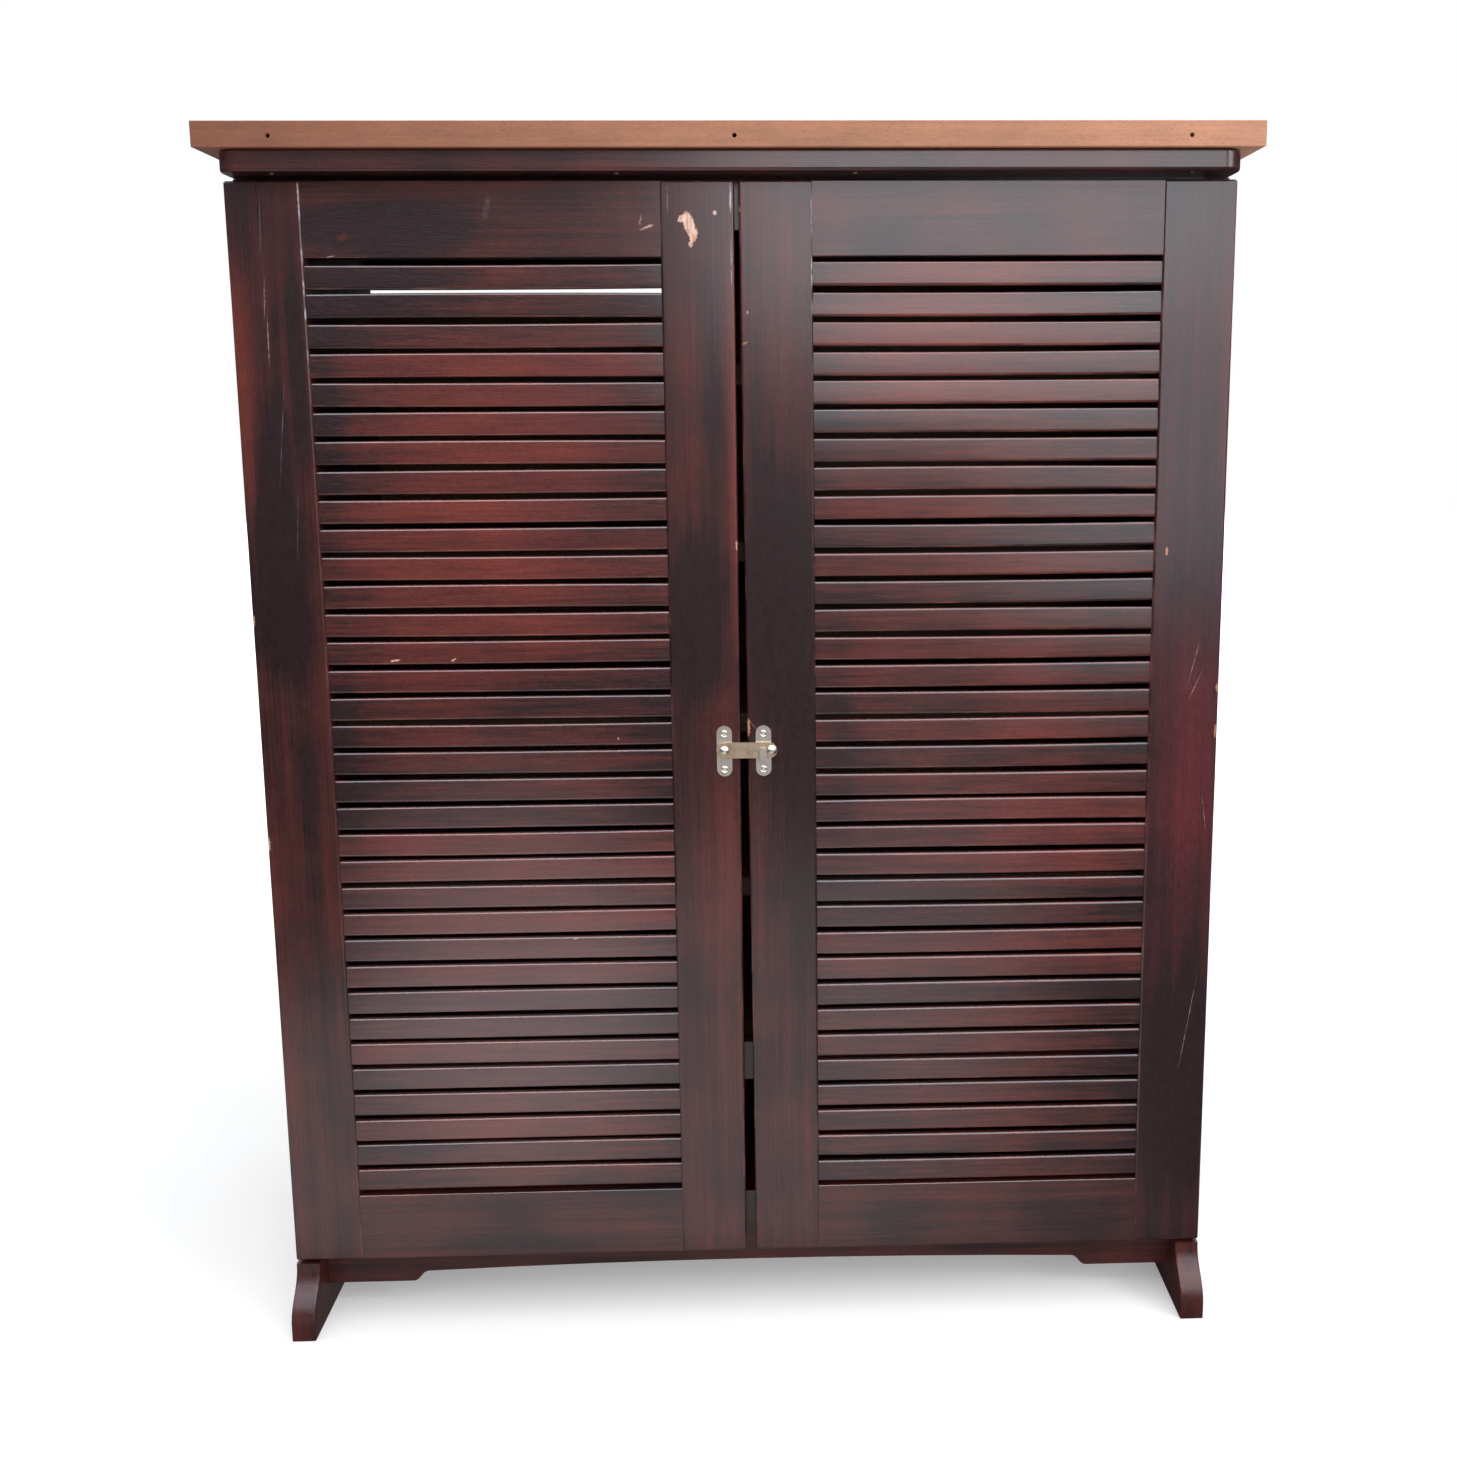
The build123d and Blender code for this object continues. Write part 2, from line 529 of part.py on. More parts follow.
def main():
    os.makedirs("parts", exist_ok=True)
    save("top_board", top_board())
    save("case_top", case_top())
    save("top_board_screws", *top_screws())
    save_pair("{side}_side_panel", side_panel())
    save("bottom_board", bottom_board())
    save("front_apron", front_apron())
    save("rear_apron", rear_apron())
    save("top_stretcher", top_stretcher())
    save("back_top_rail", back_top_rail())
    save("back_muntin", back_muntin())
    for side in ("left", "right"):
        save(f"{side}_back_sheet", back_sheet(side))
    save("back_nails", *back_nails())
    save("lowest_shelf_rail", shelf_rail())
    for number in range(SHELF_COUNT):
        save(f"shelf_{number + 1}", shelf(number))
    save_pair("{side}_shelf_cleats", *shelf_cleats())

    save_pair("{side}_door_hinge_stile", hinge_stile())
    save_pair("{side}_door_lock_stile", lock_stile())
    save_pair("{side}_door_top_rail", door_rail((PANE_TOP, DOOR_TOP)))
    save_pair("{side}_door_bottom_rail", door_rail((DOOR_BOTTOM, PANE_BOTTOM)))
    save_pair("{side}_door_lower_slats", *slats(0, SLAT_COUNT // 2))
    save_pair("{side}_door_upper_slats", *slats(SLAT_COUNT // 2, SLAT_COUNT))

    for height, place in zip(HINGE_HEIGHTS, ("lower", "middle", "upper")):
        save_pair("{side}_" + place + "_hinge_case_leaf", hinge_leaf(height, on_case=True))
        save_pair("{side}_" + place + "_hinge_door_leaf", hinge_leaf(height, on_case=False))
    save_pair("{side}_hinge_case_screws", *hinge_screws(on_case=True))
    save_pair("{side}_hinge_door_screws", *hinge_screws(on_case=False))
    save_pair("{side}_hinge_pins", *hinge_pins())

    save("latch_plate", latch_plate())
    save("latch_plate_screws", *latch_screws(LATCH_X))
    save("latch_rivet", latch_rivet())
    save("latch_arm", latch_arm())
    save("latch_knob", latch_knob())
    save("keeper_plate", keeper_plate())
    save("keeper_plate_screws", *latch_screws(KEEPER_X))


main()
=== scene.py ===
"""Louvred shoe cabinet: the finished pieces around its CAD part.

Metres, in the CAD part's own frame: +X to the right of somebody facing the doors, -Y out of the
doors, +Z up.  Wood is stained mahogany under satin lacquer, the loose top board is bare beech.
"""
import math
import random

import bmesh
import bpy
from bpy.props import FloatProperty, FloatVectorProperty, IntProperty, PointerProperty
from mathutils import Matrix, Vector, noise


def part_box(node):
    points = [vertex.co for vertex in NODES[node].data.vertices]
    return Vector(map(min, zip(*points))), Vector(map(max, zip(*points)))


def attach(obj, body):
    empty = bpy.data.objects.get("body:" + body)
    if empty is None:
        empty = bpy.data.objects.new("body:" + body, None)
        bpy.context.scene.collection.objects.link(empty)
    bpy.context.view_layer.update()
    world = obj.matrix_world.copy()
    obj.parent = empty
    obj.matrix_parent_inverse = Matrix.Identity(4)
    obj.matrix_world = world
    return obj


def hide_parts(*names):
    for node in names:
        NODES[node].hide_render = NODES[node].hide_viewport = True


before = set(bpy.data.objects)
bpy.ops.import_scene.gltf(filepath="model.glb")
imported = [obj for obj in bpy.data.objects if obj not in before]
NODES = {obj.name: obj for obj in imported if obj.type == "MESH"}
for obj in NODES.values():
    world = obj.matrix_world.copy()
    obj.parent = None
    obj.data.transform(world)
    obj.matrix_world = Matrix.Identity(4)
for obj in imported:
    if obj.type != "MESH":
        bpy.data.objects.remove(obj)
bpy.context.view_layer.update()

bl_info = {
    "name": "Louvred shoe cabinet",
    "version": (1, 0, 0),
    "blender": (4, 5, 0),
    "location": "3D View > Sidebar > Shoe cabinet",
    "description": "Builds the finished pieces of a louvred shoe cabinet around its CAD part",
    "category": "Object",
}

MM = 0.001
SIDES = ("left", "right")
DOOR_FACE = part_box("left_door_hinge_stile")[0].y
DOOR_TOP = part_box("left_door_hinge_stile")[1].z
BLADES_PER_NODE = 17         # louvre blades in each of a door's two CAD nodes of slats
BLADE_TONES = (-0.20, 0.16)  # how much thicker or thinner a blade's stain may be
RAIL_LAP = 1.5 * MM          # how far a rail's ends reach past the stiles' inner edges
TOUCHING = 1e-6              # metres, below which two places are the same
FACTOR, UNDER, OVER = 0, 6, 7          # a Mix node's sockets when it mixes colours
ZONE_DEPTH, MARK_DEPTH = 90.0, 4.0     # mm, how far zones of stain and of painted light, and marks, reach into a door
ZONE_SOFTNESS = 0.95                   # the share of a zone's radius over which it fades

# The latch screws' outline: share of the radius, and depth behind the dome's crown in mm.
SCREW_PROFILE = ((0, .75), (.20, .70), (.24, .14), (.34, .02), (.62, .16), (.88, .50),
                 (1, 1.0), (1, 1.5), (0, 1.5))

FLOOR_REACH = 9.0            # metres, half the floor's side
FLOOR_CENTRE = (0, 2.0, -0.0005)
SENSOR_WIDTH = 36.0          # mm
CAMERA_SHIFT = (-0.060, -0.0618)
LIGHTS = (  # name, place, target, width and height, share of a power, that power, colour
    ("window", (2.1, -1.7, 1.7), (0.25, -0.1, 0.9), (1.2, 1.2), 1.0, "key_power",
     (1.0, 0.97, 0.94)),
    ("far_window", (0.80, -3.6, 1.68), (0.15, 0, 0.8), (2.0, 1.0), 1.0, "far_power",
     (0.90, 0.95, 1.0)),
    ("low_window", (1.35, -3.6, 0.7), (0.3, 0, 0.6), (1.1, 0.8), 0.22, "far_power",
     (0.90, 0.95, 1.0)),
    ("ceiling", (0, -1.2, 3.2), (0, -0.1, 0), (3.0, 2.4), 1.0, "fill_power",
     (0.96, 0.98, 1.0)),
)


# ---------------------------------------------------------------- colours and node helpers
def linear(code):
    """An sRGB hex colour as linear red, green and blue."""
    channels = [int(code[i:i + 2], 16) / 255 for i in (1, 3, 5)]
    return [c / 12.92 if c <= 0.04045 else ((c + 0.055) / 1.055) ** 2.4 for c in channels]


def feed(tree, node, inputs):
    """Sets a node's inputs, in order or by name, to values, sockets or nodes' first outputs."""
    for key, value in inputs.items() if isinstance(inputs, dict) else enumerate(inputs):
        socket = node.inputs[key]
        if isinstance(value, bpy.types.Node):
            value = next(output for output in value.outputs if output.enabled)
        if isinstance(value, bpy.types.NodeSocket):
            tree.links.new(value, socket)
        elif socket.type == "RGBA":
            socket.default_value = (*value[:3], 1.0)
        else:
            socket.default_value = value


def add(tree, kind, inputs=(), **settings):
    """Adds a node of a kind with its settings, and feeds its inputs."""
    node = tree.nodes.new("ShaderNode" + kind)
    for key, value in settings.items():
        setattr(node, key, value)
    feed(tree, node, inputs)
    return node


def colour_prop(name, code, description):
    return FloatVectorProperty(name=name, description=description, subtype="COLOR", size=3,
                               min=0.0, max=1.0, default=linear(code))


def length_prop(name, millimetres, description):
    return FloatProperty(name=name, description=description, subtype="DISTANCE", unit="LENGTH",
                         min=0.0, default=millimetres * MM)


class CabinetColours(bpy.types.PropertyGroup):
    stain_dark: colour_prop("Dark stain", "#251315", "Where the stain lies thick")
    stain_red: colour_prop("Red stain", "#6e2b22", "Where the stain lies thin over the wood")
    stain_crimson: colour_prop("Crimson stain", "#5c1a22", "The cooler red low on the right door")
    bare_wood: colour_prop("Bare wood", "#dcc0ae", "Wood under a chip in the stain")
    beech: colour_prop("Beech", "#a9765a", "The bare top board")
    beech_fleck: colour_prop("Beech fleck", "#7c4c39", "Short ray flecks in the beech")
    # Painted shade: the inner wood is a thin brown stain kept dark, so that the inside of the
    # case reads dark through the gaps.
    inner_wood: colour_prop("Inner wood", "#4a3325", "Shelves and cleats under thin brown stain")
    hardboard: colour_prop("Hardboard", "#6d4a31", "The two back sheets")
    nickel: colour_prop("Nickel plate", "#f0e6d9", "The latch")
    zinc: colour_prop("Zinc plate", "#b9b4a6", "Hinges")
    screw: colour_prop("Screw steel", "#a7a49e", "Screws and panel pins")
    floor: colour_prop("Floor", "#f4f3f1", "The floor round the cabinet")


class CabinetSizes(bpy.types.PropertyGroup):
    frame_edge: length_prop("Stile edge", 2.2, "Radius of the long edges of the stiles")
    rail_edge: length_prop("Rail edge", 1.0, "Radius of the edges of the rails")
    blade_edge: length_prop("Blade edge", 2.4, "Radius of the long edges of a louvre blade")
    blade_wander: length_prop("Blade wander", 0.7, "How far a blade is out of line or bowed")
    blade_drop: length_prop("Blade drop", 1.1, "How far the topmost left blade has dropped")
    blade_tilt: FloatProperty(name="Blade tilt", description="Lean of a blade, lower edge out",
                              subtype="ANGLE", unit="ROTATION", default=math.radians(1.5))
    blade_twist: FloatProperty(name="Blade twist", description="How far its lean may differ",
                               subtype="ANGLE", unit="ROTATION", default=math.radians(1.2))
    blade_stations: IntProperty(name="Blade stations", description="Cuts along a blade",
                                default=10, min=2, max=40)
    seam_top: length_prop("Seam at the top", 4.0, "Gap between the doors at their top")
    seam_bottom: length_prop("Seam at the bottom", 10.0, "Gap between the doors at their foot")
    top_corner: length_prop("Case top corner", 18.0, "Radius of its front corners from above")
    top_edge: length_prop("Case top edge", 3.0, "Radius of the long edges of the case top")
    arris_wear: length_prop("Arris wear", 0.35, "How deep the edges are worn in places")


class CabinetStage(bpy.types.PropertyGroup):
    camera_place: FloatVectorProperty(name="Camera", description="Where the camera stands",
                                      subtype="TRANSLATION", unit="LENGTH", size=3,
                                      default=(0.0281, -1.5, 0.8962))
    camera_dip: FloatProperty(name="Camera dip", description="How far it looks down",
                              subtype="ANGLE", default=math.radians(8.965))
    camera_turn: FloatProperty(name="Camera turn", description="How far it looks right",
                               subtype="ANGLE", default=math.radians(1.75))
    camera_roll: FloatProperty(name="Camera roll", description="Its tilt to one side",
                               subtype="ANGLE", default=math.radians(0.378))
    lens: FloatProperty(name="Lens", description="Focal length on a 36 mm frame, in mm",
                        default=35.47, min=10.0)
    key_power: FloatProperty(name="Window light", description="Power of the light on the right",
                             subtype="POWER", unit="POWER", default=26.0, min=0.0)
    far_power: FloatProperty(name="Far window", description="Power of the light far in front",
                             subtype="POWER", unit="POWER", default=30.0, min=0.0)
    fill_power: FloatProperty(name="Ceiling light", description="Power of the overhead light",
                              subtype="POWER", unit="POWER", default=30.0, min=0.0)


# ---------------------------------------------------------------- marks, stain zones and zones of painted light
# One row each: how far right of the middle line, how far below the doors' top, half length,
# half width, lean from upright in degrees, strength.  Whole millimetres for the places.
LEFT_CHIPS = (  # the patch by the latch corner, a curl beside it, nicks down both edges
    (-42, 38, 13, 5.5, -14, 1), (-48, 33, 5, 3.6, 60, 1), (-38, 48, 8, 3.4, 20, 1),
    (-41, 55, 3.4, 2.2, 0, .8), (-19, 28, 2.2, 2.2, 0, 1), (-85, 34, 6, 1, 14, .32),
    (-79, 40, 8, 1.5, 70, .45), (-4, 325, 5, 1, 0, .8), (-449, 391, 7, 1.6, 0, .8),
    (-449, 603, 9, 1.6, 0, .8),
)
LEFT_SCRATCHES_AND_GLINTS = (  # a long crack down the hinge stile, and painted highlights: glints along the inner edges
    (-61, 16, 17, .5, 0, .5), (-420, 40, 34, .6, 3, .16), (-420, 100, 22, .7, 3, .4),
    (-419, 138, 26, .7, 1, .5), (-412, 220, 60, .6, 6, .2), (-403, 300, 46, .6, 4, .12),
    (-385, 18, 22, .9, 0, .8), (-385, 64, 12, .9, 0, .6), (-385, 92, 9, .9, 0, .7),
    (-385, 115, 7, .8, 0, .8), (-385, 150, 12, .8, 0, .4), (-5, 16, 16, 1.2, 0, .9),
    (-5, 70, 34, .9, 0, .5), (-360, 65, 5, .7, 80, .8), (-221, 23, 16, 4, 12, .07),
)
RIGHT_CHIPS = (  # the torn edge above the latch, and nicks
    (4, 497, 10.5, 2.6, 2, 1), (9, 115, 1.6, 1.6, 0, .8), (6, 142, 3.4, .9, 60, .5),
    (3, 25, 3, 1, 0, .8), (396, 334, 5, 1.6, 5, .9), (448, 464, 5, 1.4, 0, .8),
    (448, 506, 8, 1.2, 0, .7),
)
RIGHT_SCRATCHES = (
    (67, 30, 26, .8, 0, .5), (67, 80, 18, .9, 0, .8), (67, 110, 10, .7, 0, .5),
    (10, 496, 14, .4, -38, .5), (425, 440, 26, .5, 14, .5), (428, 460, 20, .5, 24, .45),
    (431, 800, 60, .5, 9, .4), (440, 588, 26, .5, -8, .3),
)
BLADE_CHIPS = ((-322, 429, 6, 1.3, 82, .9), (-268, 429, 4, 1.1, 70, .9),
               (-164, 702, 4, 1, 80, .6))
BLADE_SCRATCHES = ((-118, 506, 2.2, 1.3, 0, .7), (-150, 514, 7, .6, 50, .35),
                   (214, 460, 5, .6, 75, .4))
LEFT_RED = (
    (-447, 175, 185, 24, 0, .58), (-447, 660, 150, 20, 0, .32), (-443, 800, 240, 20, 0, .3),
    (-6, 250, 260, 8, 0, .5), (-30, 620, 200, 40, 0, .22), (-100, 12, 10, 50, 90, .1),
    (-418, 100, 90, 9, 0, .12), (-40, 200, 120, 20, 0, .2), (-348, 48, 9, 6, 70, .5),
)
# Darker zones on the left door: partly stain lying thick, partly painted shade where the lacquer
# mirrors less light.
LEFT_DARK_STAIN_AND_SHADE = (
    (-420, 340, 190, 40, 0, .5), (-300, 40, 40, 120, 0, .55), (-45, 400, 110, 45, 0, .45),
    (-40, 540, 110, 44, 0, .14), (-395, 150, 180, 12, 0, .35),
)
RIGHT_RED = ((425, 555, 190, 42, 0, .5), (447, 200, 260, 10, 0, .3), (12, 650, 200, 12, 0, .1))
# Darker zones on the right door: partly stain lying thick, partly painted shade, such as the dark
# foot of the hinge stile.
RIGHT_DARK_STAIN_AND_SHADE = ((430, 860, 170, 60, 0, .6), (38, 340, 170, 50, 0, .55), (45, 540, 190, 50, 0, .34))
BLADE_RED = (
    (-226, 270, 230, 150, 0, .24), (-290, 440, 90, 110, 0, .2), (-226, 700, 90, 160, 0, .1),
    (320, 620, 170, 120, 0, .3), (160, 115, 60, 140, 0, .2), (-120, 140, 90, 80, 0, .14),
)
# Darker zones on the blades: partly stain lying thick, partly painted shade where the blades
# mirror less light.
BLADE_DARK_STAIN_AND_SHADE = (
    (-374, 200, 200, 28, 0, .26), (-300, 85, 40, 110, 0, .35), (-375, 540, 160, 30, 0, .22),
    (90, 540, 240, 30, 0, .2), (380, 850, 160, 50, 0, .25), (226, 770, 320, 220, 0, .16),
    (226, 340, 170, 240, 0, .10), (350, 680, 170, 40, 0, .16),
)
# Painted sheen: a milky grey laid over the lower blades' colour, standing in for the pale floor
# mirrored in their lacquer.
BLADE_PAINTED_SHEEN = ((-226, 750, 300, 240, 0, .30), (160, 720, 300, 200, 0, .14))


def ellipses(tree, point, rows, deep, soft):
    """The union of soft ellipses on the door faces, 0 to 1."""
    union = None
    for across, down, half_length, half_width, lean, strength in rows:
        local = add(tree, "Mapping", {
            "Vector": point, "Location": (across, DOOR_FACE / MM, DOOR_TOP / MM - down),
            "Rotation": (0.0, math.radians(lean), 0.0),
            "Scale": (half_width, deep, half_length)}, vector_type="TEXTURE")
        away = add(tree, "VectorMath", (local,), operation="LENGTH")
        spot = add(tree, "MapRange", (away, 1.0, 1.0 - soft, 0.0, strength),
                   interpolation_type="SMOOTHSTEP")
        union = spot if union is None else add(tree, "Math", (union, spot), operation="MAXIMUM")
    return union


def pattern(tree, point, stretch, detail=3.0, rough=0.5, offset=(0, 0, 0)):
    """A random pattern whose features are about stretch millimetres long on each axis."""
    local = add(tree, "Mapping", {
        "Vector": point, "Scale": [1.0 / size for size in stretch], "Location": offset})
    return add(tree, "TexNoise", {
        "Vector": local, "Scale": 1.0, "Detail": detail, "Roughness": rough})


def stretched(grain, across, length):
    """The sizes of a pattern drawn out along the grain."""
    return [length if axis == grain else across for axis in "xyz"]


def shaded(tree, colour, shade):
    """A colour made lighter or darker by a grey factor."""
    grey = add(tree, "CombineColor", (shade, shade, shade))
    return add(tree, "Mix", {FACTOR: 1.0, UNDER: colour, OVER: grey},
               data_type="RGBA", blend_type="MULTIPLY")


def new_material(name):
    """An empty material with its shader, and object coordinates in millimetres."""
    material = bpy.data.materials.new(name)
    material.use_nodes = True
    tree = material.node_tree
    tree.nodes.clear()
    shader = add(tree, "BsdfPrincipled")
    add(tree, "OutputMaterial", (shader,))
    place = add(tree, "TexCoord").outputs["Object"]
    point = add(tree, "VectorMath", (place, (1 / MM,) * 3), operation="MULTIPLY")
    return material, tree, shader, point


# ---------------------------------------------------------------- finishes
def stained_mahogany(name, grain, red=(), dark=(), chips=(), scratches=(), crimson=False,
                     seed=0.0, depth=0.0, gloss_coat=0.8, haze=(), bare_wood=None, blades=False):
    """Mahogany-coloured stain wiped over plain hardwood, under satin lacquer.

    The stain pools unevenly, so red-brown wood glows through dark cloudy patches; the grain shows
    as fine streaks about 2 mm wide and short dark pores; the lacquer gives a soft, cool sheen.
    """
    colours = bpy.context.scene.cabinet_colours
    material, tree, shader, point = new_material(name)
    # Blades are cut across wilder grain: shorter streaks that stand out more.
    wide, long, streak_low, streak_high = ((2.6, 60.0, -0.22, 0.24) if blades
                                           else (2.0, 130.0, -0.10, 0.14))
    streak = pattern(tree, point, stretched(grain, wide, long), 4.0, 0.62, (seed, 0, seed))
    figure = pattern(tree, point, stretched(grain, 14.0, 420.0), 2.0, offset=(seed + 7, 3, 5))
    cloud = pattern(tree, point, (95.0, 95.0, 95.0), offset=(seed + 3, 1, 9))
    pore = pattern(tree, point, stretched(grain, 0.7, 9.0), 1.0, offset=(seed, 11, 2))
    mottle = pattern(tree, point, (5.0, 5.0, 5.0), 2.0, 0.7, (3, seed, 1))

    # How thin the stain lies: 0 where it is thick and dark, 1 where the red wood shows; the dark
    # zones also lay painted shade into it.
    shares = [add(tree, "MapRange", (cloud, 0.3, 0.7, depth - 0.08, depth + 0.20)),
              add(tree, "MapRange", (figure, 0.3, 0.7, -0.04, 0.22)),
              add(tree, "MapRange", (streak, 0.3, 0.7, streak_low, streak_high))]
    if blades:
        shares.append(add(tree, "Attribute", attribute_name="tone").outputs["Fac"])
        belly = add(tree, "Attribute", attribute_name="belly").outputs["Fac"]
        shares.append(add(tree, "MapRange", (belly, 0.0, 1.0, -0.16, 0.10)))
    if red:
        shares.append(ellipses(tree, point, red, ZONE_DEPTH, ZONE_SOFTNESS))
    stain_thinness_less_shade = shares[0]
    for share in shares[1:]:
        stain_thinness_less_shade = add(tree, "Math", (stain_thinness_less_shade, share), operation="ADD")
    # The darker zones take thick stain and painted shade away from the red.
    if dark:
        stain_thinness_less_shade = add(tree, "Math", (stain_thinness_less_shade, ellipses(
            tree, point, dark, ZONE_DEPTH, ZONE_SOFTNESS)), operation="SUBTRACT")
    stain_thinness_less_shade = add(tree, "Math", (stain_thinness_less_shade, 0.0), operation="ADD", use_clamp=True)
    colour = add(tree, "Mix", {
        FACTOR: stain_thinness_less_shade, UNDER: colours.stain_dark,
        OVER: colours.stain_crimson if crimson else colours.stain_red}, data_type="RGBA")
    shade = add(tree, "MapRange", (mottle, 0.25, 0.75, 0.90, 1.12))
    pores = add(tree, "MapRange", (pore, 0.36, 0.44, 0.80, 1.0))
    colour = shaded(tree, colour, add(tree, "Math", (shade, pores), operation="MULTIPLY"))
    # Painted reflection: the lower blades are mixed towards a milky grey in place of the floor's
    # sheen in their lacquer.
    if haze:
        colour = add(tree, "Mix", {FACTOR: ellipses(tree, point, haze, ZONE_DEPTH, 0.8),
                                   UNDER: colour, OVER: linear("#7d6c6e")}, data_type="RGBA")

    # Rubbed arrises: the stain is thin there and gone in places.
    arris = add(tree, "Attribute", attribute_name="arris").outputs["Fac"]
    rubbed = pattern(tree, point, stretched(grain, 9.0, 45.0), 4.0, 0.7, (5, seed, 4))
    patchy = add(tree, "MapRange", (rubbed, 0.50, 0.66))
    worn = add(tree, "Math", (arris, patchy), operation="MULTIPLY")
    worn = add(tree, "Math", (worn, 0.5), operation="MULTIPLY")
    colour = add(tree, "Mix", {FACTOR: worn, UNDER: colour, OVER: linear("#7d4a3e")},
                 data_type="RGBA")

    # Scratches and chips have ragged outlines, so their places are shaken a little.
    if chips or scratches:
        wobble = add(tree, "TexNoise", {"Vector": point, "Scale": 0.45, "Detail": 3.0})
        shift = add(tree, "VectorMath", (wobble.outputs["Color"], (0.5, 0.5, 0.5)),
                    operation="SUBTRACT")
    # Scratches in pale grey; the rows that are glints along the arrises are painted highlights in
    # the same grey.
    if scratches:
        shaken = add(tree, "VectorMath", (shift, (0.8, 0.0, 0.8), point),
                     operation="MULTIPLY_ADD")
        line = ellipses(tree, shaken, scratches, MARK_DEPTH, 0.6)
        gaps = pattern(tree, point, (6.0, 6.0, 6.0), rough=0.7, offset=(1, 2, 3))
        broken = add(tree, "MapRange", (gaps, 0.38, 0.58, 0.15, 1.0))
        line = add(tree, "Math", (line, broken), operation="MULTIPLY")
        colour = add(tree, "Mix", {FACTOR: line, UNDER: colour, OVER: linear("#a9a3a8")},
                     data_type="RGBA")
    height = add(tree, "Math", (add(tree, "MapRange", (streak, 0.3, 0.7, 0.0, 0.5)),
                                add(tree, "MapRange", (pore, 0.34, 0.46, 0.0, 0.6))),
                 operation="ADD")
    if chips:
        shaken = add(tree, "VectorMath", (shift, (3.2, 0.0, 3.2), point),
                     operation="MULTIPLY_ADD")
        bare = ellipses(tree, shaken, chips, MARK_DEPTH, 0.35)
        fibre = pattern(tree, point, stretched(grain, 2.5, 9.0), rough=0.6)
        wood = add(tree, "Mix", {
            FACTOR: add(tree, "MapRange", (fibre, 0.35, 0.62)), UNDER: linear("#b5755a"),
            OVER: bare_wood or colours.bare_wood}, data_type="RGBA")
        colour = add(tree, "Mix", {FACTOR: bare, UNDER: colour, OVER: wood}, data_type="RGBA")
        hollow = add(tree, "Math", (bare, 2.0), operation="MULTIPLY")
        height = add(tree, "Math", (height, hollow), operation="SUBTRACT")
    feed(tree, shader, {
        "Base Color": colour, "Roughness": add(tree, "MapRange", (mottle, 0.3, 0.7, 0.36, 0.50)),
        "IOR": 1.5, "Specular IOR Level": 0.25, "Coat Weight": gloss_coat,
        "Coat Roughness": 0.20, "Normal": add(tree, "Bump", {
            "Height": height, "Distance": 0.12 * MM, "Strength": 1.0})})
    return material


def bare_beech(name):
    """Steamed beech, planed and left bare: pinkish tan, with fine short ray flecks."""
    colours = bpy.context.scene.cabinet_colours
    material, tree, shader, point = new_material(name)
    band = pattern(tree, point, (260.0, 9.0, 5.0), 4.0, 0.6)
    fibre = pattern(tree, point, (30.0, 0.8, 0.8), rough=0.6)
    fleck = pattern(tree, point, (3.0, 1.0, 0.7), 1.0)
    soil = pattern(tree, point, (70.0, 40.0, 30.0), 4.0, 0.65, (4, 2, 8))
    colour = add(tree, "Mix", {
        FACTOR: add(tree, "MapRange", (band, 0.32, 0.68)), UNDER: colours.beech,
        OVER: [min(1.0, c * 1.22) for c in colours.beech]}, data_type="RGBA")
    shade = add(tree, "MapRange", (fibre, 0.3, 0.7, 0.86, 1.08))
    soiled = add(tree, "MapRange", (soil, 0.32, 0.6, 0.84, 1.05))
    colour = shaded(tree, colour, add(tree, "Math", (shade, soiled), operation="MULTIPLY"))
    colour = add(tree, "Mix", {
        FACTOR: add(tree, "MapRange", (fleck, 0.60, 0.74, 0.0, 0.6)), UNDER: colour,
        OVER: colours.beech_fleck}, data_type="RGBA")
    # Darker towards its left end: partly its own colour, partly painted shade of the light
    # falling off away from the right.
    x = add(tree, "SeparateXYZ", (point,)).outputs["X"]
    aged_and_shaded = add(tree, "Mix", {
        FACTOR: add(tree, "MapRange", (x, -460, 460)), UNDER: linear("#ad9488"),
        OVER: (1.0, 1.0, 1.0)}, data_type="RGBA")
    colour = add(tree, "Mix", {FACTOR: 1.0, UNDER: colour, OVER: aged_and_shaded},
                 data_type="RGBA", blend_type="MULTIPLY")
    feed(tree, shader, {
        "Base Color": colour, "Roughness": add(tree, "MapRange", (fibre, 0.3, 0.7, 0.55, 0.72)),
        "IOR": 1.5, "Normal": add(tree, "Bump", {
            "Height": add(tree, "Math", (fibre, fleck), operation="ADD"),
            "Distance": 0.10 * MM, "Strength": 1.0})})
    return material


def raw_wood(name, colour_value, grain):
    """Planed softwood, unstained: straight darker late-wood lines and a dry surface."""
    material, tree, shader, point = new_material(name)
    ring = pattern(tree, point, stretched(grain, 6.0, 500.0), 4.0, 0.65)
    fibre = pattern(tree, point, stretched(grain, 0.9, 40.0), 2.0)
    colour = add(tree, "Mix", {
        FACTOR: add(tree, "MapRange", (ring, 0.35, 0.65)),
        UNDER: [c * 0.42 for c in colour_value], OVER: colour_value}, data_type="RGBA")
    feed(tree, shader, {
        "Base Color": shaded(tree, colour, add(tree, "MapRange", (fibre, 0.3, 0.7, 0.86, 1.08))),
        "Roughness": add(tree, "MapRange", (fibre, 0.3, 0.7, 0.6, 0.78)),
        "Normal": add(tree, "Bump", {
            "Height": fibre, "Distance": 0.10 * MM, "Strength": 1.0})})
    return material


